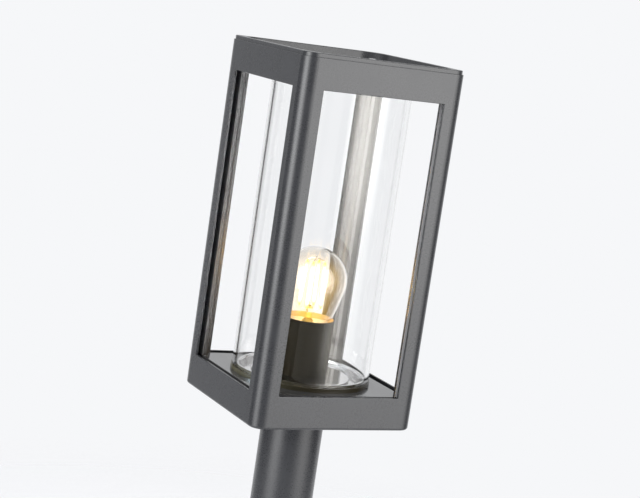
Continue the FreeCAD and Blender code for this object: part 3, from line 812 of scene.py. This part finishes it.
def lit_phosphor(low, high):
    material, tree, shader = start_material("lit_phosphor")
    shader.inputs["Roughness"].default_value = STICK_ROUGHNESS
    place = object_place(tree)
    beads = noise(tree, place, Scale=700.0, Detail=1.0)
    join(tree, mix_colours(tree, beads, *SKINS), shader.inputs["Base Color"])
    height = split(tree, place)["Z"]
    foot = spread(tree, height, low, low + FOOT_LEN, 0.0, 1.0)
    tip = spread(tree, height, high - TIP_LEN, high, 1.0, 0.0)
    warm = mix_colours(tree, calculate(tree, "MULTIPLY", foot, tip), DULL_END, HOT_MIDDLE)
    rim = add(tree, "ShaderNodeLayerWeight", Blend=0.5)
    glow = mix_colours(tree, spread(tree, rim.outputs["Facing"], *RIM_RANGE), warm, AMBER_RIM)
    seen = is_ray(tree, "Camera", "Transmission", "Glossy")
    strength = spread(tree, seen, 0.0, 1.0, STICK_LIGHT / STICK_GLOW, 1.0)
    join(tree, calculate_vector(tree, "SCALE", glow, strength), shader.inputs["Emission Color"])
    shader.inputs["Emission Strength"].default_value = STICK_GLOW
    return material


stick_low, stick_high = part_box("bulb_filaments")
phosphor = lit_phosphor(stick_low.z, stick_high.z)
print(phosphor.name, "glows", STICK_GLOW)

# %% [markdown]
# A stick has a metal lug at each end. It is a cylinder whose ends are inset and pulled out into lugs. One is
# modelled. Four copies stand on the diagonals round the lamp's stem, lean a little inwards, and are joined.

# %% Filament sticks
STICK_R = 0.0015
STICK_LEAN = 0.002
STICK_COUNT = 4
LUG_LEN = 0.0015
LUG_INSET = 0.45 * STICK_R
END_ROUND = 0.3 * STICK_R
END_RIM = 0.9 * STICK_R
END_WITHIN = 0.0001
stick_len = stick_high.z - stick_low.z - 2 * LUG_LEN
bpy.ops.object.select_all(action="DESELECT")
bpy.ops.mesh.primitive_cylinder_add(vertices=20, radius=STICK_R, depth=stick_len)
stick = begin_piece("filament_stick")
for side in (-1, 1):
    pick(stick, lambda place: place.z * side > stick_len / 2 - END_WITHIN)
    bpy.ops.mesh.inset(thickness=LUG_INSET)
    bpy.ops.mesh.extrude_region_move(TRANSFORM_OT_translate={"value": (0, 0, side * LUG_LEN)})
pick(stick, lambda place: abs(abs(place.z) - stick_len / 2) < END_WITHIN
     and math.hypot(place.x, place.y) > END_RIM)
bpy.ops.mesh.bevel(offset=END_ROUND, segments=3, affect="EDGES")
bpy.ops.object.mode_set(mode="OBJECT")
reach = (stick_high.x - stick_low.x) / 2 - STICK_R
tilt = math.atan2(STICK_LEAN, stick_len)
middle = Matrix.Translation((reach * 2 ** 0.5 - STICK_LEAN / 2, 0, (stick_low.z + stick_high.z) / 2))
copies = []
for k in range(STICK_COUNT):
    turn = Matrix.Rotation(2 * math.pi * (k + 0.5) / STICK_COUNT, 4, "Z")
    copy = stick.copy()
    copy.data = stick.data.copy()
    copy.data.transform(turn @ middle @ Matrix.Rotation(-tilt, 4, "Y"))
    scene.collection.objects.link(copy)
    copies.append(copy)
bpy.data.objects.remove(stick)
bpy.ops.object.select_all(action="DESELECT")
for copy in copies:
    copy.select_set(True)
bpy.context.view_layer.objects.active = copies[0]
bpy.ops.object.join()
sticks = bpy.context.object
sticks.name = "filament_sticks"
close_piece(sticks, phosphor, "bulb_filaments")

# %% [markdown]
# ## Lamp holder's sleeve
# The sleeve is matt black outside and bare bright metal inside. The distance from the axis is the mask again,
# on a copy of the black coat.

# %% Lined sleeve
SLEEVE_WALL = 0.0012
LINING_EDGE = (0.0002, 0.0005)
BARE_METAL = (0.43, 0.31, 0.13, 1)
holder_coat = painted("holder_matt_black", (0.009, 0.0072, 0.0034, 1), uneven=0.15, gloss=0.45, dull=0.55,
                      bump=0.02, specular=0.06)
sleeve_low, sleeve_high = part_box("lamp_sleeve")


def lined_sleeve():
    material, tree, shader, outside = start_copy(holder_coat, "lined_sleeve")
    inside_r = (sleeve_high.x - sleeve_low.x) / 2 - SLEEVE_WALL
    inside = spread(tree, from_axis(tree), inside_r + LINING_EDGE[0], inside_r + LINING_EDGE[1], 1.0, 0.0)
    join(tree, mix_colours(tree, inside, outside, BARE_METAL), shader.inputs["Base Color"])
    return material


dress(lined_sleeve(), "lamp_sleeve")

# %% [markdown]
# ## Lamp light
# A small warm point lamp in the bulb lights the inside of the holder. It shines on the metal and ceramic
# pieces and the ring only. A second, stronger one draws warm glints on the corner profiles. The glass is left
# out of their lists, or a second lamp would show in every reflection.

# %% Lamp light
LAMP_TINT = (1.0, 0.54, 0.07)
LAMP_SIZE = 0.01
LAMP_DROP = 0.004
LAMP_POWER = 0.12
GLINT_POWER = 0.7


def lamp_light(name, power, *receivers):
    glow = bpy.data.lights.new(name, "POINT")
    glow.color = LAMP_TINT
    glow.energy = power
    glow.shadow_soft_size = LAMP_SIZE
    holder = bpy.data.objects.new(name, glow)
    scene.collection.objects.link(holder)
    holder.location = (0, 0, ball_z - LAMP_DROP)
    holder.visible_camera = False
    holder.visible_transmission = False
    light_only(holder, *[nodes[receiver] for receiver in receivers])
    print(name, power, "W on", len(receivers), "pieces")


lamp_light("lamp_light", LAMP_POWER, "lamp_sleeve", "holder_body", "holder_foot", "bulb_cap", "bulb_leads",
           "screw_shell", "glass_seat")
lamp_light("lamp_glint", GLINT_POWER, *corner_names)
